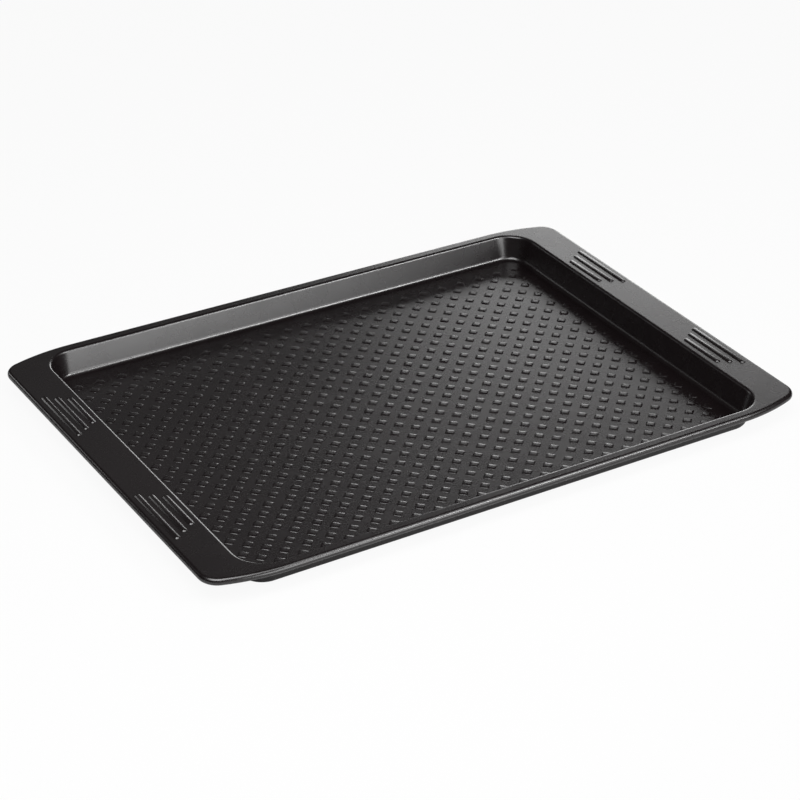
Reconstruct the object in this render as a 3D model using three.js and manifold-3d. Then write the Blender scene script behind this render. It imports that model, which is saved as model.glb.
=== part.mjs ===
// A shallow rectangular oven tray: one pressed sheet with a sloping wall, a flat rim that widens into a
// handle at each short end, raised grip ribs on both handles, and an outer edge rolled over a steel wire.
// Millimetres, +Z up. X runs along the tray from handle to handle, and Y across it.
// The origin is the middle of the underside, on the surface that the tray stands on.
import * as THREE from "three";
import { mergeVertices } from "three/addons/utils/BufferGeometryUtils.js";
import Module from "manifold-3d";

// Sheet and basin
const sheet = 0.8; // thickness of the pressed steel
const openingLength = 378; // between the two lines where the handles start to roll over into the end walls
const openingWidth = 282.5; // the same across the tray, between the two long rims
const openingCorner = 21.5; // corner radius of the opening, seen from above
const floorCorner = 11; // corner radius of the flat floor, seen from above
const depth = 17; // from the top of the rim down to the floor
const wallLean = 15; // degrees that the wall leans outwards from upright
const rimFillet = 2.2; // radius between rim and wall
const floorFillet = 3.6; // radius between wall and floor

// Rim and handles
const sideRim = 6.5; // width of the rim along a long side, rolled edge included
const handleReach = 25.5; // width of the rim at a short end, rolled edge included
const handleCorner = 13; // corner radius of a handle, seen from above
const handleTaper = 135; // radius of the long curve that draws a handle in at its two sides
const handleTaperStart = 25; // that curve starts this far before the end of the opening

// Rolled edge and its wire
const wireDiameter = 2.6;
const wireClearance = 0.3; // between the wire and the sheet around it
const curlTurn = 270; // degrees that the sheet rolls round, from flat on top to its cut edge
const wireEndGap = 1; // between the two butted ends of the wire, in the middle of the back edge

// Grip ribs, pressed up from the handles in groups that get shorter towards the opening
const ribsInGroup = 3;
const ribWidth = 4; // at the foot of a rib
const ribTopWidth = 1.2;
const ribHeight = 0.8; // above the handle
const ribFromEdge = 6.9; // from the outer edge of a handle to the middle of the nearest rib
const ribPitch = 6.9; // from one rib of a group to the next
const ribLength = 54.6; // the outermost rib of a group
const ribShorter = 9.1; // each next rib is this much shorter
const ribGroupSpacing = 131; // between the middles of the two groups on a handle

// How finely the curves are divided
const cornerSteps = 6;
const taperSteps = 3;
const filletSteps = 4;
const curlSteps = 9;
const wireSides = 10;
const ribEndSteps = 6;
const sameVertex = 1e-4; // vertices closer than this are one vertex

const wasm = await Module();
wasm.setup();

const radians = THREE.MathUtils.degToRad;
const rimTop = depth + sheet;
const curlRadius = wireDiameter / 2 + wireClearance + sheet;
const wireHeight = rimTop - curlRadius;
const halfLength = openingLength / 2 + handleReach;
const halfWidth = openingWidth / 2 + sideRim;

// Section of the wall: straight between a fillet at the rim and one at the floor.
const lean = radians(wallLean);
const bend = Math.PI / 2 - lean;
const filletSum = rimFillet + floorFillet;
const wallLength = (depth - filletSum * (1 - Math.sin(lean))) / Math.cos(lean);
const floorInset = filletSum * Math.cos(lean) + wallLength * Math.sin(lean);

// Divides a stretch of angle into equal steps and returns both ends and all between.
function spread(from, to, steps) {
  return Array.from({ length: steps + 1 }, (_, i) => from + ((to - from) * i) / steps);
}

// Plan of the tray
// The long taper curve meets the handle's corner where both face this way, in radians from the X axis.
const taperX = openingLength / 2 - handleTaperStart;
const taperY = halfWidth - handleTaper;
const meeting = Math.acos((halfLength - handleCorner - taperX) / (handleTaper - handleCorner));
const cornerX = halfLength - handleCorner;
const cornerY = taperY + (handleTaper - handleCorner) * Math.sin(meeting);
const facings = [
  ...spread(0, meeting, cornerSteps),
  ...spread(meeting, Math.PI / 2, taperSteps).slice(1),
];

// A point of one quarter of the outer edge that faces a given way, moved outwards by `out`.
function edgePoint(facing, out) {
  const onCorner = facing <= meeting;
  const radius = (onCorner ? handleCorner : handleTaper) + out;
  const x = (onCorner ? cornerX : taperX) + radius * Math.cos(facing);
  const y = (onCorner ? cornerY : taperY) + radius * Math.sin(facing);
  return new THREE.Vector2(x, y);
}

// The same for the opening, moved inwards by `inwards`, with corners that tighten evenly down to the floor.
function openingPoint(facing, inwards) {
  const radius = THREE.MathUtils.mapLinear(inwards, 0, floorInset, openingCorner, floorCorner);
  const x = openingLength / 2 - inwards - radius + radius * Math.cos(facing);
  const y = openingWidth / 2 - inwards - radius + radius * Math.sin(facing);
  return new THREE.Vector2(x, y);
}

// Walks a quarter plan through all four quarters, anticlockwise from the +X side.
function aroundTray(quarterPoint) {
  const quarter = facings.map(quarterPoint);
  const mirrored = [...quarter].reverse();
  return [
    ...quarter,
    ...mirrored.map((p) => new THREE.Vector2(-p.x, p.y)),
    ...quarter.map((p) => new THREE.Vector2(-p.x, -p.y)),
    ...mirrored.map((p) => new THREE.Vector2(p.x, -p.y)),
  ];
}

function openingRing(inwards, z) {
  return aroundTray((facing) => openingPoint(facing, inwards)).map((p) => new THREE.Vector3(p.x, p.y, z));
}

function edgeRing(out, z) {
  return aroundTray((facing) => edgePoint(facing, out)).map((p) => new THREE.Vector3(p.x, p.y, z));
}

// A closed solid through a row of rings with equal counts of points, with a flat cap on the first and last.
// To someone who looks along the row from before its first ring, every ring runs anticlockwise.
function loft(rings) {
  const count = rings[0].length;
  const positions = rings.flat().flatMap((p) => [p.x, p.y, p.z]);
  const triangles = [];
  for (let i = 0; i + 1 < rings.length; i++) {
    for (let k = 0; k < count; k++) {
      const next = (k + 1) % count;
      const a = i * count + k;
      const b = i * count + next;
      const c = a + count;
      const d = b + count;
      triangles.push(a, c, b, b, c, d);
    }
  }
  const last = (rings.length - 1) * count;
  for (let k = 1; k + 1 < count; k++) {
    triangles.push(0, k, k + 1);
    triangles.push(last, last + k + 1, last + k);
  }
  const geometry = new THREE.BufferGeometry();
  geometry.setAttribute("position", new THREE.Float32BufferAttribute(positions, 3));
  geometry.setIndex(triangles);
  return geometry;
}

// Booleans work on solids, and meshes hold geometries, so shapes go to and fro between them.
function solidOf(geometry) {
  const bare = mergeVertices(geometry, sameVertex);
  const mesh = new wasm.Mesh({
    numProp: 3,
    vertProperties: bare.getAttribute("position").array,
    triVerts: new Uint32Array(bare.index.array),
  });
  return new wasm.Manifold(mesh);
}

function geometryOf(solid) {
  const mesh = solid.getMesh();
  const geometry = new THREE.BufferGeometry();
  geometry.setAttribute("position", new THREE.BufferAttribute(mesh.vertProperties, 3));
  geometry.setIndex(new THREE.BufferAttribute(mesh.triVerts, 1));
  return geometry;
}

// The sheet: its rings run up the inside of the basin, out over the rim, round the curl to the cut edge of
// the sheet, back along the inside of the curl, and down the outside of the basin to the underside.
function floorFilletRing(angle, radius) {
  return openingRing(floorInset - radius * Math.sin(angle), sheet + floorFillet - radius * Math.cos(angle));
}

function rimFilletRing(angle, radius) {
  return openingRing(radius * Math.sin(angle), rimTop - rimFillet + radius * Math.cos(angle));
}

function curlRing(angle, radius) {
  return edgeRing(radius * Math.sin(angle) - curlRadius, wireHeight + radius * Math.cos(angle));
}

function pressedSheet() {
  const up = spread(0, bend, filletSteps);
  const over = spread(bend, 0, filletSteps);
  const round = spread(0, radians(curlTurn), curlSteps);
  return loft([
    ...up.map((angle) => floorFilletRing(angle, floorFillet)),
    ...over.map((angle) => rimFilletRing(angle, rimFillet)),
    ...round.map((angle) => curlRing(angle, curlRadius)),
    ...[...round].reverse().map((angle) => curlRing(angle, curlRadius - sheet)),
    ...[...over].reverse().map((angle) => rimFilletRing(angle, rimFillet - sheet)),
    ...[...up].reverse().map((angle) => floorFilletRing(angle, floorFillet + sheet)),
  ]);
}

// A bar along Y with round ends, as wide as `foot` up to the height `base`, and then narrowing to `top`.
function ribBar(x, y, length, foot, top, under, base, height) {
  const outline = (width, z) => {
    const straight = (length - foot) / 2;
    const half = spread(0, Math.PI, ribEndSteps);
    const ends = [half.map((angle) => [angle, straight]), half.map((angle) => [angle + Math.PI, -straight])];
    return ends.flat().map(([angle, along]) => {
      const across = (width / 2) * Math.cos(angle);
      return new THREE.Vector3(x + across, y + along + (width / 2) * Math.sin(angle), z);
    });
  };
  return solidOf(loft([outline(top, base + height), outline(foot, base), outline(foot, under)]));
}

// Every rib stands on the handle and has a groove underneath, so the sheet stays about as thick as elsewhere.
// Rib and groove both start half a sheet below the face that they leave.
function pressRibs(solid) {
  const underside = rimTop - sheet;
  const grooveFoot = ribWidth - 2 * sheet;
  const grooveTop = grooveFoot / 2;
  const groups = [1, -1].flatMap((end) => [1, -1].map((side) => [end, side]));
  let pressed = solid;
  for (const [end, side] of groups) {
    for (let i = 0; i < ribsInGroup; i++) {
      const x = end * (halfLength - ribFromEdge - i * ribPitch);
      const y = (side * ribGroupSpacing) / 2;
      const length = ribLength - i * ribShorter;
      const grooveLength = length - 2 * sheet;
      const rib = ribBar(x, y, length, ribWidth, ribTopWidth, rimTop - sheet / 2, rimTop, ribHeight);
      const groove = ribBar(
        x, y, grooveLength, grooveFoot, grooveTop, underside - sheet / 2, underside, ribHeight,
      );
      pressed = pressed.add(rib).subtract(groove);
    }
  }
  return pressed;
}

// The wire lies in the curl and runs right round the tray, from one side of its butt joint to the other.
function wireGeometry() {
  const radius = wireDiameter / 2;
  const sides = spread(0, 2 * Math.PI, wireSides).slice(1);
  const lines = sides.map((angle) =>
    edgeRing(radius * Math.cos(angle) - curlRadius, wireHeight + radius * Math.sin(angle)),
  );
  const sections = lines[0].map((_, station) => lines.map((line) => line[station]));
  const fromBack = [...sections.slice(facings.length), ...sections.slice(0, facings.length)];
  const cutAt = (section, x) => section.map((p) => new THREE.Vector3(x, p.y, p.z));
  return loft([
    cutAt(fromBack[0], -wireEndGap / 2),
    ...fromBack,
    cutAt(fromBack[fromBack.length - 1], wireEndGap / 2),
  ]);
}

const coating = new THREE.MeshStandardMaterial({ color: 0x2b292a, roughness: 0.4, metalness: 0.1 });
const steel = new THREE.MeshStandardMaterial({ color: 0x8d9093, roughness: 0.35, metalness: 1 });

const tray = new THREE.Group();
const panShell = new THREE.Mesh(geometryOf(pressRibs(solidOf(pressedSheet()))), coating);
panShell.name = "pan_shell";
const rimWire = new THREE.Mesh(wireGeometry(), steel);
rimWire.name = "rim_wire";
tray.add(panShell, rimWire);

export default tray;
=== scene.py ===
# %% [markdown]
# # A pressed oven tray
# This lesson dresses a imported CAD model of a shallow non-stick oven tray for a studio picture.
# The real tray is one steel sheet, pressed in a single stroke and coated, with its edge rolled over a wire.
# So the picture needs one continuous skin: a floor full of small raised pads, a sloping wall, a flat rim
# that widens into two ribbed handles, and the round bead of the rolled edge.
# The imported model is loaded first, because every piece has to stay where the CAD put it.

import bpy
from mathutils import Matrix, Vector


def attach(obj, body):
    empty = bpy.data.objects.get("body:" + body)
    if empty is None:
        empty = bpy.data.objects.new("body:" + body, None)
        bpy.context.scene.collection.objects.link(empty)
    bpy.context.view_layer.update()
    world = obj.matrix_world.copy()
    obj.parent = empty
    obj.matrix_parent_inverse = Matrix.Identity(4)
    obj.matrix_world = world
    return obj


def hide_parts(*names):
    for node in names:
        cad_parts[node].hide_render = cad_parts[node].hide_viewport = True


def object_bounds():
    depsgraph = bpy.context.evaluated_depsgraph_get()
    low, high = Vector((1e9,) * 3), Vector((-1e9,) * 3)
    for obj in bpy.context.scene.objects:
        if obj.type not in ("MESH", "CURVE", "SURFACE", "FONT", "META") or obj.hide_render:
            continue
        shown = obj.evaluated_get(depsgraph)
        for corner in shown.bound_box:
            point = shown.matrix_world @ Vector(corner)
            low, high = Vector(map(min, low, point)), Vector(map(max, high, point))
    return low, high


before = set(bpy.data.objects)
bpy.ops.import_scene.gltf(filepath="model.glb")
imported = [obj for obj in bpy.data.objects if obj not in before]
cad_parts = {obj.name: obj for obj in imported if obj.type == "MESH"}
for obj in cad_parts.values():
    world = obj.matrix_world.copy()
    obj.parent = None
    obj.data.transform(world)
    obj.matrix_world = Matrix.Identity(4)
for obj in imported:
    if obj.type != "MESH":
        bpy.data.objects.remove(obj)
cad_low, cad_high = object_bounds()
print("CAD box in metres:", [round(v, 4) for v in cad_low], [round(v, 4) for v in cad_high])

# %% Modules and the unit
import math

import bmesh
import bpy
from mathutils import Quaternion, Vector

MM = 0.001

# %% [markdown]
# ## Sizes of the sheet
# A maker of trays thinks in a section and a plan. The section is a floor, a wall that leans out a little, a
# flat rim and a rolled edge, with a fillet at each bend. The plan is a rounded rectangle for the opening and
# a second outline for the outer edge, which is wider at the two handles.
# Overall lengths are read from the frame, and only sizes that the frame does not state are written here.

# %% Sizes of the sheet
sheet = 0.8 * MM
rib_height = 0.8 * MM
half_length = cad_high.x
half_width = cad_high.y
rim_top = cad_high.z - rib_height

handle_reach = 25.5 * MM
side_rim = 6.5 * MM
opening_half_length = half_length - handle_reach
opening_half_width = half_width - side_rim
opening_corner = 21.5 * MM
floor_corner = 11 * MM
wall_lean = math.radians(15)
rim_fillet = 2.2 * MM
floor_fillet = 3.6 * MM

handle_corner = 13 * MM
handle_taper = 135 * MM
handle_taper_start = 25 * MM

wire_radius = 1.3 * MM
wire_clearance = 0.3 * MM
curl_radius = wire_radius + wire_clearance + sheet
curl_turn = math.radians(270)
wire_height = rim_top - curl_radius

# %% Section of the wall
depth = rim_top - sheet
bend = math.pi / 2 - wall_lean
fillet_sum = rim_fillet + floor_fillet
wall_length = (depth - fillet_sum * (1 - math.sin(wall_lean))) / math.cos(wall_lean)
floor_inset = fillet_sum * math.cos(wall_lean) + wall_length * math.sin(wall_lean)
print(f"wall {wall_length / MM:.2f} mm long, floor {floor_inset / MM:.2f} mm inside the opening")

# %% [markdown]
# ## The plan
# A point of either outline is named by the way that it faces, from 0 along X to 90 degrees along Y. One
# quarter is worked out and mirrored to the other three. Because both outlines use the same list of facings,
# their points pair up, and any two rings can be joined by a strip of four-sided faces.

# %% The ways that the points of an outline face
corner_steps = 14
taper_steps = 8


def spread(start, end, steps):
    """Both ends of a stretch and the equal steps between them."""
    return [start + (end - start) * i / steps for i in range(steps + 1)]


taper_x = opening_half_length - handle_taper_start
taper_y = half_width - handle_taper
meeting = math.acos((half_length - handle_corner - taper_x) / (handle_taper - handle_corner))
corner_x = half_length - handle_corner
corner_y = taper_y + (handle_taper - handle_corner) * math.sin(meeting)
facings = spread(0, meeting, corner_steps) + spread(meeting, math.pi / 2, taper_steps)[1:]
print(f"a handle's corner meets its taper at {math.degrees(meeting):.1f} degrees")


# %% Outlines of the opening and of the outer edge
def edge_point(facing, out):
    """A point of the outer edge's first quarter, moved outwards."""
    on_corner = facing <= meeting
    radius = (handle_corner if on_corner else handle_taper) + out
    x = (corner_x if on_corner else taper_x) + radius * math.cos(facing)
    y = (corner_y if on_corner else taper_y) + radius * math.sin(facing)
    return x, y


def opening_point(facing, inwards):
    """A point of the opening's first quarter, moved inwards. The corners tighten towards the floor."""
    radius = opening_corner + (floor_corner - opening_corner) * inwards / floor_inset
    x = opening_half_length - inwards - radius + radius * math.cos(facing)
    y = opening_half_width - inwards - radius + radius * math.sin(facing)
    return x, y


def around_tray(quarter_point, z):
    """A quarter carried through all four quarters, anticlockwise from above."""
    quarter = [quarter_point(facing) for facing in facings]
    back = quarter[::-1]
    ring = quarter + [(-x, y) for x, y in back]
    ring += [(-x, -y) for x, y in quarter] + [(x, -y) for x, y in back]
    return [Vector((x, y, z)) for x, y in ring]


def opening_ring(inwards, z):
    return around_tray(lambda facing: opening_point(facing, inwards), z)


def edge_ring(out, z):
    return around_tray(lambda facing: edge_point(facing, out), z)


print(len(facings) * 4, "points in every ring")

# %% [markdown]
# ## Node helpers
# Shaders and Geometry Nodes are both graphs, and a graph is easier to read as a formula. A Flow is one
# output socket of a node. Adding or multiplying Flows adds Math nodes, also where a plain number comes
# first. Any other node is made by one method, which sets the node's own settings before it fills or links
# its sockets.


# %% Write node graphs as formulas
class Flow:
    """One output socket of a node."""

    def __init__(self, socket):
        self.socket = socket

    @staticmethod
    def node(tree, kind, settings=None, sockets=None):
        """Adds a node and returns its outputs by name."""
        made = tree.nodes.new(kind)
        for name, value in (settings or {}).items():
            setattr(made, name, value)
        for name, value in (sockets or {}).items():
            target = Flow.input_of(made, name)
            if isinstance(value, Flow):
                tree.links.new(value.socket, target)
            else:
                target.default_value = value
        return {s.name: Flow(s) for s in made.outputs if s.enabled and not s.is_unavailable}

    @staticmethod
    def input_of(made, name):
        """The input at a numbered place, or the first usable one of that name."""
        if isinstance(name, int):
            return made.inputs[name]
        usable = [s for s in made.inputs if s.enabled and not s.is_unavailable]
        return next(s for s in usable if s.name == name)

    def maths(self, operation, first, second):
        tree = self.socket.id_data
        made = Flow.node(tree, "ShaderNodeMath", {"operation": operation}, {0: first, 1: second})
        return made["Value"]

    def __add__(self, other):
        return self.maths("ADD", self, other)

    def __radd__(self, other):
        return self.maths("ADD", other, self)

    def __sub__(self, other):
        return self.maths("SUBTRACT", self, other)

    def __rsub__(self, other):
        return self.maths("SUBTRACT", other, self)

    def __mul__(self, other):
        return self.maths("MULTIPLY", self, other)

    def __rmul__(self, other):
        return self.maths("MULTIPLY", other, self)

    def __truediv__(self, other):
        return self.maths("DIVIDE", self, other)

    def __mod__(self, other):
        return self.maths("FLOORED_MODULO", self, other)

    def floor(self):
        return self.maths("FLOOR", self, 0)


# %% Grow a mesh from a Geometry Nodes tree
def new_tree(name, inputs):
    """An empty geometry tree with named inputs, those inputs as Flows, and their identifiers."""
    tree = bpy.data.node_groups.new(name, "GeometryNodeTree")
    tree.interface.new_socket("Geometry", in_out="OUTPUT", socket_type="NodeSocketGeometry")
    identifiers = {}
    for label, kind in inputs.items():
        socket = tree.interface.new_socket(label, in_out="INPUT", socket_type=kind)
        identifiers[label] = socket.identifier
    outputs = Flow.node(tree, "NodeGroupInput")
    return tree, outputs, identifiers


def end_tree(tree, geometry, material):
    """Ends a tree in real geometry with a material."""
    real = Flow.node(tree, "GeometryNodeRealizeInstances", None, {"Geometry": geometry})
    sockets = {"Geometry": real["Geometry"], "Material": material}
    painted = Flow.node(tree, "GeometryNodeSetMaterial", None, sockets)
    Flow.node(tree, "NodeGroupOutput", {"is_active_output": True}, {"Geometry": painted["Geometry"]})


def grow(name, tree, identifiers, values, start=None):
    """Runs a tree on an object with the given input values, and returns the result as a plain mesh."""
    start = start or bpy.data.meshes.new(name + "_start")
    grower = bpy.data.objects.new(name + "_grower", start)
    bpy.context.scene.collection.objects.link(grower)
    modifier = grower.modifiers.new(tree.name, "NODES")
    modifier.node_group = tree
    for label, value in values.items():
        modifier[identifiers[label]] = value
    evaluated = grower.evaluated_get(bpy.context.evaluated_depsgraph_get())
    mesh = bpy.data.meshes.new_from_object(evaluated)
    mesh.name = name
    bpy.data.objects.remove(grower)
    return mesh


# %% [markdown]
# ## The non-stick coating
# The coating is a charcoal film, sprayed on and baked. It is nearly black, it has a satin gloss that blurs
# what it mirrors, and close up it shows a very fine grain. Its flakes make it mirror a little more than plain
# paint does, so its index of refraction is a little higher than the usual one.
# A picture of the surface could be pasted on, but noise that is worked out in space has no seams and no
# limit of sharpness, so grain, patches of gloss and tone all come from noise on Object coordinates.


# %% Helpers for both finishes
def principled(name):
    """A new material, its node tree and its Principled shader."""
    material = bpy.data.materials.new(name)
    material.use_nodes = True
    tree = material.node_tree
    shader = next(n for n in tree.nodes if n.type == "BSDF_PRINCIPLED")
    return material, tree, shader


def noise(tree, place, per_metre, detail):
    """Noise between 0 and 1 over the place given, with about so many features to a metre."""
    sockets = {"Vector": place, "Scale": per_metre, "Detail": detail}
    made = Flow.node(tree, "ShaderNodeTexNoise", {"noise_dimensions": "3D"}, sockets)
    return next(iter(made.values()))


def colour_of(tree, red, green, blue):
    sockets = {"Red": red, "Green": green, "Blue": blue}
    return Flow.node(tree, "ShaderNodeCombineColor", {"mode": "RGB"}, sockets)["Color"]


def feed(tree, flow, shader, name):
    tree.links.new(flow.socket, shader.inputs[name])


# %% The non-stick coating
coating_tone = 0.0025
coating_red = 1.6
coating_blue = 1.1
coating_tone_spread = 0.5
clouds_per_metre = 14
coating_roughness = 0.27
coating_roughness_spread = 0.1
patches_per_metre = 60
grains_per_metre = 1500
grain_strength = 0.02
grain_depth = 0.05 * MM
coating_index = 1.6


def make_coating():
    """Clouds change the tone, patches the gloss, and the grain is a faint bump."""
    material, tree, shader = principled("satin_coating")
    place = Flow.node(tree, "ShaderNodeTexCoord")["Object"]
    clouds = noise(tree, place, clouds_per_metre, 2)
    patches = noise(tree, place, patches_per_metre, 3)
    grain = noise(tree, place, grains_per_metre, 2)
    tone = coating_tone * (1 - coating_tone_spread / 2 + coating_tone_spread * clouds)
    colour = colour_of(tree, tone * coating_red, tone, tone * coating_blue)
    feed(tree, colour, shader, "Base Color")
    smoothest = coating_roughness - coating_roughness_spread / 2
    feed(tree, smoothest + coating_roughness_spread * patches, shader, "Roughness")
    sockets = {"Strength": grain_strength, "Distance": grain_depth, "Height": grain}
    bump = Flow.node(tree, "ShaderNodeBump", None, sockets)["Normal"]
    feed(tree, bump, shader, "Normal")
    shader.inputs["IOR"].default_value = coating_index
    return material


coating = make_coating()
print("coating:", len(coating.node_tree.nodes), "nodes")

# %% [markdown]
# ## The steel wire
# The wire inside the rolled edge shows only as a thin line in the slit under the rim. It is bare drawn
# steel. Scratches could be drawn along it, but at that width a fine noise in its tone and its gloss is
# enough.

# %% The steel wire's finish
steel_tone = 0.38
steel_tone_spread = 0.14
steel_blue = 1.02
steel_roughness = 0.25
steel_roughness_spread = 0.25
steel_grains_per_metre = 900


def make_steel():
    material, tree, shader = principled("drawn_steel")
    place = Flow.node(tree, "ShaderNodeTexCoord")["Object"]
    grain = noise(tree, place, steel_grains_per_metre, 3)
    tone = steel_tone + steel_tone_spread * grain
    feed(tree, colour_of(tree, tone, tone, tone * steel_blue), shader, "Base Color")
    feed(tree, steel_roughness + steel_roughness_spread * grain, shader, "Roughness")
    shader.inputs["Metallic"].default_value = 1
    return material


steel = make_steel()
print("steel:", len(steel.node_tree.nodes), "nodes")

# %% [markdown]
# ## One pad and its piece of floor
# Hundreds of small pads are pressed up from the floor, in staggered rows, so that dough lifts off. Each is a
# rounded square that stands on its corner. Its sides rise steeply and bend over into a nearly flat top.
# One pad is modelled together with the rectangle of floor around it. In staggered rows such rectangles fit
# together like bricks, if the long sides also have a point in the middle, so the whole floor can be laid
# from one tile and stays a single skin. The tile has few faces, because it is laid nearly seven hundred
# times.

# %% Shape of a pad
column_step = 7.8 * MM
row_step = 7.92 * MM
pad_side = 5.8 * MM
pad_corner = 0.9 * MM
pad_corner_tightening = 0.4
pad_height = 0.45 * MM
# Each ring of a pad: how far it lies inside the foot, and at what share of the height
pad_rings = ((0, 0), (0.25 * MM, 0.45), (0.7 * MM, 0.85), (1.5 * MM, 1))


def pad_ring(inset, z):
    """A rounded square on its corner, moved inwards, with three points at each corner."""
    corner = pad_corner - pad_corner_tightening * inset
    reach = (pad_side / 2 - inset - corner) * math.sqrt(2)
    points = []
    for axis in spread(0, 1.5 * math.pi, 3):
        for turn in (-math.pi / 4, 0, math.pi / 4):
            x = reach * math.cos(axis) + corner * math.cos(axis + turn)
            y = reach * math.sin(axis) + corner * math.sin(axis + turn)
            points.append(Vector((x, y, z)))
    return points


print("a pad is", round(2 * max(p.x for p in pad_ring(0, 0)) / MM, 2), "mm across its corners")


# %% One pad and its piece of floor
def add_ring(mesh, points):
    return [mesh.verts.new(p) for p in points]


def join_rings(mesh, inner, outer):
    """A strip of faces from one ring to the next. It faces up where the second ring is the wider one."""
    count = len(inner)
    for k in range(count):
        after = (k + 1) % count
        mesh.faces.new((inner[k], outer[k], outer[after], inner[after]))


def ring_edges(mesh, ring):
    """The edges round a ring, added where the mesh does not have them yet."""
    pairs = zip(ring, ring[1:] + ring[:1])
    return [mesh.edges.get(pair) or mesh.edges.new(pair) for pair in pairs]


def make_tile():
    """The pad with its floor, in the tile's own frame."""
    mesh = bmesh.new()
    border = [(1, -1), (1, 1), (0, 1), (-1, 1), (-1, -1), (0, -1)]
    outer = add_ring(mesh, [Vector((x * column_step, y * row_step / 2, 0)) for x, y in border])
    rings = [add_ring(mesh, pad_ring(inset, share * pad_height)) for inset, share in pad_rings]
    floor_edges = ring_edges(mesh, outer) + ring_edges(mesh, rings[0])
    bmesh.ops.triangle_fill(mesh, use_beauty=True, edges=floor_edges, normal=(0, 0, 1))
    for lower, upper in zip(rings, rings[1:]):
        join_rings(mesh, upper, lower)
    mesh.faces.new(rings[-1])
    made = bpy.data.meshes.new("pad_tile")
    mesh.to_mesh(made)
    mesh.free()
    return made


tile = bpy.data.objects.new("pad_tile", make_tile())
print("one tile has", len(tile.data.polygons), "faces")

# %% [markdown]
# ## The field of pads
# The pads stand on every second point of a grid, like the dark squares of a chessboard: a point carries a
# tile if its steps along and across from the middle add up to an odd number. A loop could copy the tile too,
# but a tree lays all the copies at once and keeps the counts and steps as inputs.
# Every second row is half a tile shorter at both ends, and a plain piece of floor fills each gap. Merging
# the touching points turns the tiles into one sheet.

# %% Lay the field of pads
field_columns = 45
field_rows = 31
tile_weld = 0.02 * MM


def pad_field_tree():
    inputs = {
        "Tile": "NodeSocketObject",
        "Columns": "NodeSocketInt",
        "Rows": "NodeSocketInt",
        "Column step": "NodeSocketFloat",
        "Row step": "NodeSocketFloat",
        "Height": "NodeSocketFloat",
        "Coating": "NodeSocketMaterial",
    }
    tree, given, identifiers = new_tree("pad_field", inputs)
    step_x, step_y = given["Column step"], given["Row step"]
    columns, rows = given["Columns"], given["Rows"]

    def grid(size_x, size_y, count_x, count_y):
        sockets = {"Size X": size_x, "Size Y": size_y, "Vertices X": count_x, "Vertices Y": count_y}
        return Flow.node(tree, "GeometryNodeMeshGrid", None, sockets)["Mesh"]

    def laid(points, piece, chosen):
        sockets = {"Points": points, "Selection": chosen, "Instance": piece}
        return Flow.node(tree, "GeometryNodeInstanceOnPoints", None, sockets)["Instances"]

    position = Flow.node(tree, "GeometryNodeInputPosition")["Position"]
    place = Flow.node(tree, "ShaderNodeSeparateXYZ", None, {"Vector": position})
    staggered = (place["X"] / step_x + place["Y"] / step_y + 0.5).floor() % 2
    tiles = Flow.node(tree, "GeometryNodeObjectInfo", None, {"Object": given["Tile"]})["Geometry"]
    padded = laid(grid((columns - 1) * step_x, (rows - 1) * step_y, columns, rows), tiles, staggered)
    row_ends = grid(columns * step_x, (rows - 3) * step_y, 2, (rows - 1) / 2)
    plain = laid(row_ends, grid(step_x, step_y, 2, 2), True)
    joined = tree.nodes.new("GeometryNodeJoinGeometry")
    for part in (padded, plain):
        tree.links.new(part.socket, joined.inputs["Geometry"])
    together = Flow(joined.outputs["Geometry"])
    real = Flow.node(tree, "GeometryNodeRealizeInstances", None, {"Geometry": together})
    sockets = {"Geometry": real["Geometry"], "Distance": tile_weld}
    merged = Flow.node(tree, "GeometryNodeMergeByDistance", None, sockets)
    sockets = {"X": 0.0, "Y": 0.0, "Z": given["Height"]}
    up = Flow.node(tree, "ShaderNodeCombineXYZ", None, sockets)["Vector"]
    sockets = {"Geometry": merged["Geometry"], "Translation": up}
    lifted = Flow.node(tree, "GeometryNodeTransform", None, sockets)
    end_tree(tree, lifted["Geometry"], given["Coating"])
    return tree, identifiers


field_tree, field_inputs = pad_field_tree()
field_values = {
    "Tile": tile,
    "Columns": field_columns,
    "Rows": field_rows,
    "Column step": column_step,
    "Row step": row_step,
    "Height": sheet,
    "Coating": coating,
}
pad_field = grow("pad_field", field_tree, field_inputs, field_values)
print("field of pads:", field_columns * field_rows // 2, "pads,", len(pad_field.polygons), "faces")

# %% [markdown]
# ## Grip ribs
# Each handle has two groups of three ribs, pressed up so that a gloved hand does not slip. The ribs of a
# group get shorter towards the opening.
# Every rib could be modelled by itself, but all twelve are one bump with its two halves pulled apart. The
# tree lays the bump on twelve points, and then moves each half along Y by half of that rib's own straight
# length.

# %% One bump
rib_foot = 2.1 * MM
rib_crown = 0.9 * MM
rib_skirt = 0.12
rib_bands = 8
rib_end_steps = 8


def make_bump():
    """A round bump in a narrow flat skirt. Its halves remember which way they will move."""
    mesh = bmesh.new()
    side = mesh.verts.layers.float.new("side")
    half = spread(0, math.pi, rib_end_steps)
    turns = [(angle, 1.0) for angle in half] + [(angle + math.pi, -1.0) for angle in half]
    rings = []
    for share in [-rib_skirt] + spread(0, 1, rib_bands):
        radius = rib_foot + (rib_crown - rib_foot) * share
        climb = max(share, 0)
        z = rib_height * climb * climb * (3 - 2 * climb)
        points = [Vector((radius * math.cos(a), radius * math.sin(a), z)) for a, _ in turns]
        rings.append(add_ring(mesh, points))
        for vertex, (_, way) in zip(rings[-1], turns):
            vertex[side] = way
    for lower, upper in zip(rings, rings[1:]):
        join_rings(mesh, upper, lower)
    mesh.faces.new(rings[-1])
    made = bpy.data.meshes.new("rib_bump")
    mesh.to_mesh(made)
    mesh.free()
    return made


bump_object = bpy.data.objects.new("rib_bump", make_bump())
print("one bump has", len(bump_object.data.polygons), "faces")

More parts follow.
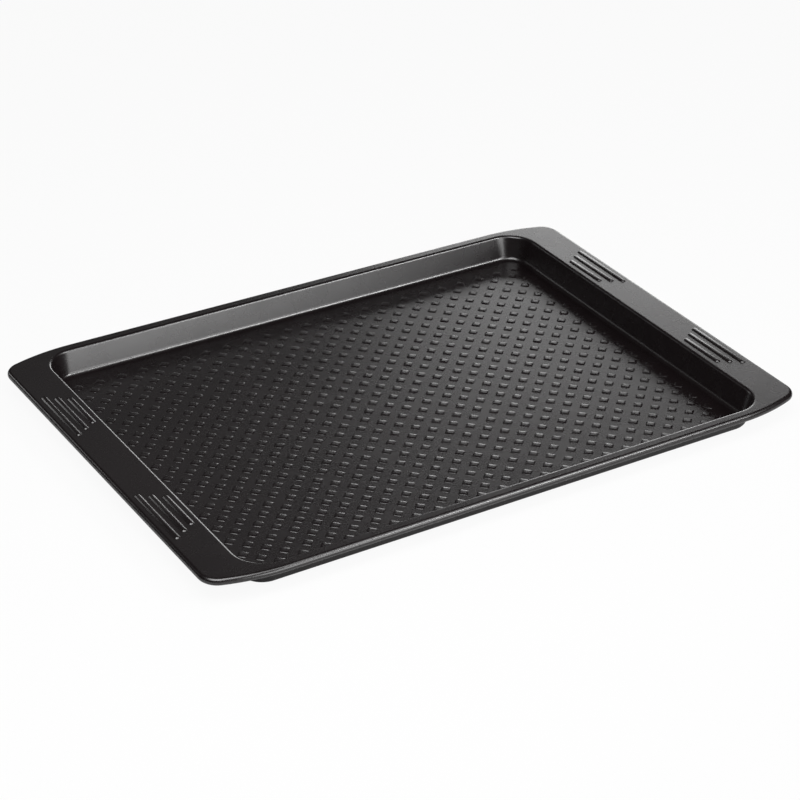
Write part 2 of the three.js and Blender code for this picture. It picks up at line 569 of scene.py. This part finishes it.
# %% Press the twelve ribs
ribs_in_group = 3
rib_from_edge = 6.9 * MM
rib_pitch = 6.9 * MM
rib_length = 54.6 * MM
rib_shorter = 9.1 * MM
rib_group_spacing = 131 * MM
rib_groups = 4


def grip_rib_tree():
    inputs = {
        "Bump": "NodeSocketObject",
        "Ribs in a group": "NodeSocketInt",
        "Groups": "NodeSocketInt",
        "Outermost X": "NodeSocketFloat",
        "Pitch": "NodeSocketFloat",
        "Group spacing": "NodeSocketFloat",
        "Straight half": "NodeSocketFloat",
        "Shorter by": "NodeSocketFloat",
        "Height": "NodeSocketFloat",
        "Coating": "NodeSocketMaterial",
    }
    tree, given, identifiers = new_tree("grip_ribs", inputs)

    def vector(x, y, z):
        return Flow.node(tree, "ShaderNodeCombineXYZ", None, {"X": x, "Y": y, "Z": z})["Vector"]

    def named(name):
        settings = {"data_type": "FLOAT"}
        return Flow.node(tree, "GeometryNodeInputNamedAttribute", settings, {"Name": name})["Attribute"]

    count = given["Ribs in a group"] * given["Groups"]
    line = Flow.node(tree, "GeometryNodeMeshLine", {"mode": "OFFSET"}, {"Count": count})["Mesh"]
    index = Flow.node(tree, "GeometryNodeInputIndex")["Index"]
    rank = index % given["Ribs in a group"]
    group = (index / given["Ribs in a group"]).floor()
    end = (group % 2) * 2 - 1
    flank = (group / 2).floor() * 2 - 1
    x = end * (given["Outermost X"] - rank * given["Pitch"])
    y = flank * given["Group spacing"] * 0.5
    straight = given["Straight half"] - rank * given["Shorter by"] * 0.5
    sockets = {"Geometry": line, "Position": vector(x, y, given["Height"])}
    placed = Flow.node(tree, "GeometryNodeSetPosition", None, sockets)
    stored = Flow.node(
        tree,
        "GeometryNodeStoreNamedAttribute",
        {"data_type": "FLOAT", "domain": "POINT"},
        {"Geometry": placed["Geometry"], "Name": "straight", "Value": straight},
    )
    bump = Flow.node(tree, "GeometryNodeObjectInfo", None, {"Object": given["Bump"]})["Geometry"]
    sockets = {"Points": stored["Geometry"], "Instance": bump}
    laid = Flow.node(tree, "GeometryNodeInstanceOnPoints", None, sockets)
    real = Flow.node(tree, "GeometryNodeRealizeInstances", None, {"Geometry": laid["Instances"]})
    pull = vector(0.0, named("side") * named("straight"), 0.0)
    sockets = {"Geometry": real["Geometry"], "Offset": pull}
    pulled = Flow.node(tree, "GeometryNodeSetPosition", None, sockets)
    end_tree(tree, pulled["Geometry"], given["Coating"])
    return tree, identifiers


rib_tree, rib_inputs = grip_rib_tree()
rib_values = {
    "Bump": bump_object,
    "Ribs in a group": ribs_in_group,
    "Groups": rib_groups,
    "Outermost X": half_length - rib_from_edge,
    "Pitch": rib_pitch,
    "Group spacing": rib_group_spacing,
    "Straight half": rib_length / 2 - rib_foot,
    "Shorter by": rib_shorter,
    "Height": rim_top,
    "Coating": coating,
}
grip_ribs = grow("grip_ribs", rib_tree, rib_inputs, rib_values)
print("grip ribs:", ribs_in_group * rib_groups, "ribs,", len(grip_ribs.polygons), "faces")

# %% [markdown]
# ## The pressed sheet
# The skin is built from inside to outside: the field of pads, a flat strip of floor, the fillet, the wall,
# the second fillet, the flat rim with holes for the ribs, and the curl. A narrow flat ring beside each bend
# keeps the flat faces flat in the shading.
# Both sides of the sheet could be modelled, but one Solidify at the end gives the skin its thickness, so the
# underside gets the hollows of the pads and ribs by itself, as a pressed sheet does.

# %% Rings of the three bends
fillet_steps = 9
curl_steps = 24
flat_ring = 0.4 * MM


def floor_bend(angle):
    inwards = floor_inset - floor_fillet * math.sin(angle)
    return opening_ring(inwards, sheet + floor_fillet * (1 - math.cos(angle)))


def rim_bend(angle):
    inwards = rim_fillet * math.sin(angle)
    return opening_ring(inwards, rim_top - rim_fillet * (1 - math.cos(angle)))


def curl(angle):
    out = curl_radius * (math.sin(angle) - 1)
    return edge_ring(out, wire_height + curl_radius * math.cos(angle))


basin_rings = [opening_ring(floor_inset + flat_ring, sheet)]
basin_rings += [floor_bend(angle) for angle in spread(0, bend, fillet_steps)]
basin_rings += [rim_bend(angle) for angle in spread(bend, 0, fillet_steps)]
basin_rings += [opening_ring(-flat_ring, rim_top)]
rolled_rings = [edge_ring(-curl_radius - flat_ring, rim_top)]
rolled_rings += [curl(angle) for angle in spread(0, curl_turn, curl_steps)]
print(len(basin_rings), "rings in the basin and", len(rolled_rings), "in the rolled edge")

# %% The skin of the pressed sheet
ring_weld = 0.002 * MM


def bring(mesh, part):
    """Adds a grown mesh and returns the open edges that it brought along."""
    known = len(mesh.verts)
    mesh.from_mesh(part)
    mesh.verts.ensure_lookup_table()
    brought = set(mesh.verts[known:])
    return [e for e in mesh.edges if len(e.link_faces) == 1 and e.verts[0] in brought]


def add_strips(mesh, rings):
    """Adds a row of rings with the strips between them, and returns the edges of the first and the last."""
    made = [add_ring(mesh, ring) for ring in rings]
    for inner, outer in zip(made, made[1:]):
        join_rings(mesh, inner, outer)
    return ring_edges(mesh, made[0]), ring_edges(mesh, made[-1])


def skin_of_sheet():
    mesh = bmesh.new()
    field_border = bring(mesh, pad_field)
    rib_borders = bring(mesh, grip_ribs)
    floor_end, rim_start = add_strips(mesh, basin_rings)
    rim_end, _ = add_strips(mesh, rolled_rings)
    for edges in (field_border + floor_end, rib_borders + rim_start + rim_end):
        bmesh.ops.triangle_fill(mesh, use_beauty=True, edges=edges, normal=(0, 0, 1))
    bmesh.ops.remove_doubles(mesh, verts=mesh.verts, dist=ring_weld)
    bmesh.ops.recalc_face_normals(mesh, faces=mesh.faces)
    lowest = min(mesh.faces, key=lambda f: f.calc_center_median().z)
    if lowest.normal.z < 0:
        bmesh.ops.reverse_faces(mesh, faces=mesh.faces)
    open_edges = [e for e in mesh.edges if len(e.link_faces) == 1]
    print("skin:", len(mesh.faces), "faces,", len(open_edges), "open edges, all on the cut edge")
    made = bpy.data.meshes.new("pressed_sheet")
    mesh.to_mesh(made)
    mesh.free()
    return made


skin = skin_of_sheet()

# %% Give the skin its thickness
smooth_below = math.radians(34)


def thicken(mesh):
    sheet_object = bpy.data.objects.new("pressed_sheet", mesh)
    bpy.context.scene.collection.objects.link(sheet_object)
    solidify = sheet_object.modifiers.new("sheet", "SOLIDIFY")
    solidify.thickness = sheet
    solidify.offset = -1
    solidify.use_even_offset = True
    solidify.use_quality_normals = True
    evaluated = sheet_object.evaluated_get(bpy.context.evaluated_depsgraph_get())
    solid = bpy.data.meshes.new_from_object(evaluated)
    sheet_object.modifiers.clear()
    sheet_object.data = solid
    solid.materials.clear()
    solid.materials.append(coating)
    solid.shade_smooth()
    solid.set_sharp_from_angle(angle=smooth_below)
    return sheet_object


pressed_sheet = thicken(skin)
lowest_point = min(v.co.z for v in pressed_sheet.data.vertices)
triangles = sum(len(p.vertices) - 2 for p in pressed_sheet.data.polygons)
print("pressed sheet:", triangles, "triangles, lowest point", round(lowest_point / MM, 3), "mm")

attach(pressed_sheet, "root")
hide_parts("pan_shell")

# %% [markdown]
# ## The wire in the edge
# The wire follows the middle of the curl all the way round, and its two ends meet in the middle of the back.
# Its rings could be joined one by one, but a curve with a round section does that by itself: the tree turns
# a chain of edges into a curve and sweeps a circle along it.

# %% The path of the wire
wire_end_gap = 1 * MM


def wire_path():
    """The middle line of the wire, from one side of its butt joint round to the other."""
    ring = edge_ring(-curl_radius, wire_height)
    turned = ring[len(facings):] + ring[:len(facings)]
    first = Vector((-wire_end_gap / 2, turned[0].y, wire_height))
    last = Vector((wire_end_gap / 2, turned[-1].y, wire_height))
    points = [first] + turned + [last]
    path = bpy.data.meshes.new("wire_path")
    path.from_pydata(points, [(i, i + 1) for i in range(len(points) - 1)], [])
    return path


# %% The wire in the edge
wire_sides = 16


def wire_tree():
    inputs = {
        "Geometry": "NodeSocketGeometry",
        "Radius": "NodeSocketFloat",
        "Sides": "NodeSocketInt",
        "Steel": "NodeSocketMaterial",
    }
    tree, given, identifiers = new_tree("edge_wire", inputs)
    line = Flow.node(tree, "GeometryNodeMeshToCurve", None, {"Mesh": given["Geometry"]})["Curve"]
    circle = Flow.node(
        tree,
        "GeometryNodeCurvePrimitiveCircle",
        {"mode": "RADIUS"},
        {"Resolution": given["Sides"], "Radius": given["Radius"]},
    )["Curve"]
    sockets = {"Curve": line, "Profile Curve": circle, "Fill Caps": True}
    swept = Flow.node(tree, "GeometryNodeCurveToMesh", None, sockets)
    end_tree(tree, swept["Mesh"], given["Steel"])
    return tree, identifiers


edge_wire_tree, wire_inputs = wire_tree()
wire_values = {"Radius": wire_radius, "Sides": wire_sides, "Steel": steel}
wire_mesh = grow("edge_wire", edge_wire_tree, wire_inputs, wire_values, wire_path())
wire_mesh.shade_smooth()
wire_mesh.set_sharp_from_angle(angle=smooth_below)
edge_wire = bpy.data.objects.new("edge_wire", wire_mesh)
bpy.context.scene.collection.objects.link(edge_wire)
print("wire:", len(wire_mesh.polygons), "faces")

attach(edge_wire, "root")
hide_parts("rim_wire")

# %% [markdown]
# ## The white table
# The tray stands on a white table. Lit by lamps alone, a white plane would look uneven and partly grey. So
# most of what the camera sees of it is an even glow of its own, and the rest is the light that falls on it,
# which keeps a soft shadow under the tray. Mirrored in the tray it glows far less, because the outer wall of
# a dark tray would look pale beside a bright table.

# %% The white table
table_half = 6.0
table_below_tray = 0.2 * MM
table_white = 0.5
table_roughness = 0.9
table_lift = 0.93
table_in_gloss = 0.1


def make_table():
    mesh = bpy.data.meshes.new("white_table")
    corners = [(-1, -1), (1, -1), (1, 1), (-1, 1)]
    points = [(x * table_half, y * table_half, -table_below_tray) for x, y in corners]
    mesh.from_pydata(points, [], [(0, 1, 2, 3)])
    table = bpy.data.objects.new("white_table", mesh)
    bpy.context.scene.collection.objects.link(table)
    material, tree, shader = principled("table_white")
    shader.inputs["Base Color"].default_value = (table_white, table_white, table_white, 1)
    shader.inputs["Roughness"].default_value = table_roughness
    shader.inputs["Specular IOR Level"].default_value = 0
    light_path = Flow.node(tree, "ShaderNodeLightPath")
    seen = table_lift * light_path["Is Camera Ray"] + table_in_gloss * light_path["Is Glossy Ray"]
    white = {"Color": (1, 1, 1, 1), "Strength": 1.0}
    glow = Flow.node(tree, "ShaderNodeEmission", None, white)["Emission"]
    sockets = {"Fac": seen, 1: Flow(shader.outputs["BSDF"]), 2: glow}
    mixed = Flow.node(tree, "ShaderNodeMixShader", None, sockets)["Shader"]
    output = next(n for n in tree.nodes if n.type == "OUTPUT_MATERIAL")
    tree.links.new(mixed.socket, output.inputs["Surface"])
    mesh.materials.append(material)


make_table()
print("table:", 2 * table_half, "metres square")

# %% [markdown]
# ## The studio's own light
# Even a dark studio has some stray light, and it keeps the deepest shadows off pure black. A very dim, even
# world gives it. To the camera the same world is white, so that nothing dark shows beyond the table.

# %% The studio's own light
studio_dim = 0.02


def make_world():
    world = bpy.data.worlds.new("studio")
    bpy.context.scene.world = world
    world.use_nodes = True
    tree = world.node_tree
    tree.nodes.clear()
    camera_ray = Flow.node(tree, "ShaderNodeLightPath")["Is Camera Ray"]
    strength = studio_dim + (1 - studio_dim) * camera_ray
    sockets = {"Color": (1, 1, 1, 1), "Strength": strength}
    shade = Flow.node(tree, "ShaderNodeBackground", None, sockets)
    Flow.node(tree, "ShaderNodeOutputWorld", None, {"Surface": shade["Background"]})


make_world()
print("stray light:", studio_dim)

# %% [markdown]
# ## The lamps
# A dark satin surface shows little colour of its own: what the eye reads is where lamps are mirrored in it.
# So each soft box is placed by what a face or a bend of the tray should mirror, and not by how much light it
# gives. One large lamp overhead would be simpler, but it would turn the whole floor an even grey.
# Behind the tray on its right, two boxes are mirrored in the right half of the floor, the right handle and
# the far edges of pads and ribs. A dim panel beside them lifts the left half a little.
# In front, a large box is mirrored in the back wall. A small bright one draws the thin lines along the rim,
# along the foot of the wall and on the rolled edge, and a weak strip close above fills the top of the bead.
# A box on the left lights the left sides of the ribs, and one high up in front the near sides of the pads.


# %% A soft box
def soft_box(name, towards, size, radiance, distance=2.5):
    """A flat soft lamp that faces the tray, with its width, height and distance in metres.

    It stands towards an azimuth and an elevation in degrees. Azimuth runs from behind the tray, +Y, towards
    its right, +X.
    """
    azimuth, elevation = (math.radians(angle) for angle in towards)
    flat = math.cos(elevation)
    out = Vector((math.sin(azimuth) * flat, math.cos(azimuth) * flat, math.sin(elevation)))
    width, height = size
    data = bpy.data.lights.new(name, "AREA")
    data.shape = "RECTANGLE"
    data.size = width
    data.size_y = height
    data.energy = radiance * math.pi * width * height
    lamp = bpy.data.objects.new(name, data)
    lamp.location = out * distance
    lamp.rotation_mode = "QUATERNION"
    lamp.rotation_quaternion = out.to_track_quat("Z", "Y")
    lamp.visible_camera = False
    bpy.context.scene.collection.objects.link(lamp)


# %% The lamps
soft_box("back_right_box", towards=(42.5, 18.5), size=(0.84, 0.72), radiance=3.0)
soft_box("back_low_box", towards=(41, 6), size=(0.95, 0.35), radiance=6.0)
soft_box("back_panel", towards=(20, 32), size=(1.06, 0.6), radiance=0.2)
soft_box("front_box", towards=(164, 12), size=(1.3, 1.2), radiance=6.0)
soft_box("front_high_box", towards=(142, 38.5), size=(0.72, 0.42), radiance=30.0)
soft_box("front_strip", towards=(180, 61), size=(1.0, 0.14), radiance=4.0, distance=0.52)
soft_box("left_box", towards=(-27, 20), size=(0.5, 0.6), radiance=3.5)
soft_box("top_front_box", towards=(-132, 59), size=(0.8, 0.7), radiance=5.5, distance=1.0)
print("lamps:", [light.name for light in bpy.data.lights])

# %% [markdown]
# ## The camera
# The picture is taken from in front of the tray and from its left, about 30 degrees above the table, with a
# long lens. A camera could be moved by eye, but this one was fitted to the rim lines, the outline and the
# lip of the tray all at once, so its angles, its distance and its lens belong together.

# %% The camera
camera_azimuth = math.radians(-32.761)
camera_elevation = math.radians(30.381)
camera_roll = math.radians(1.585)
camera_distance = 1491.4 * MM
camera_aim = Vector((-13.9 * MM, -21.97 * MM, rim_top))
camera_near = 0.05
camera_far = 50
sensor_width = 36
picture_width = 800
focal_pixels = 2357.2


def make_camera():
    data = bpy.data.cameras.new("camera")
    data.sensor_width = sensor_width
    data.lens = sensor_width * focal_pixels / picture_width
    data.clip_start = camera_near
    data.clip_end = camera_far
    camera = bpy.data.objects.new("camera", data)
    bpy.context.scene.collection.objects.link(camera)
    flat = math.cos(camera_elevation)
    across = math.sin(camera_azimuth) * flat
    along = -math.cos(camera_azimuth) * flat
    back = Vector((across, along, math.sin(camera_elevation)))
    camera.location = camera_aim + back * camera_distance
    camera.rotation_mode = "QUATERNION"
    camera.rotation_quaternion = back.to_track_quat("Z", "Y") @ Quaternion((0, 0, 1), camera_roll)
    bpy.context.scene.camera = camera
    print("camera:", round(data.lens, 1), "mm lens")


make_camera()
bpy.context.scene.view_settings.view_transform = "Standard"
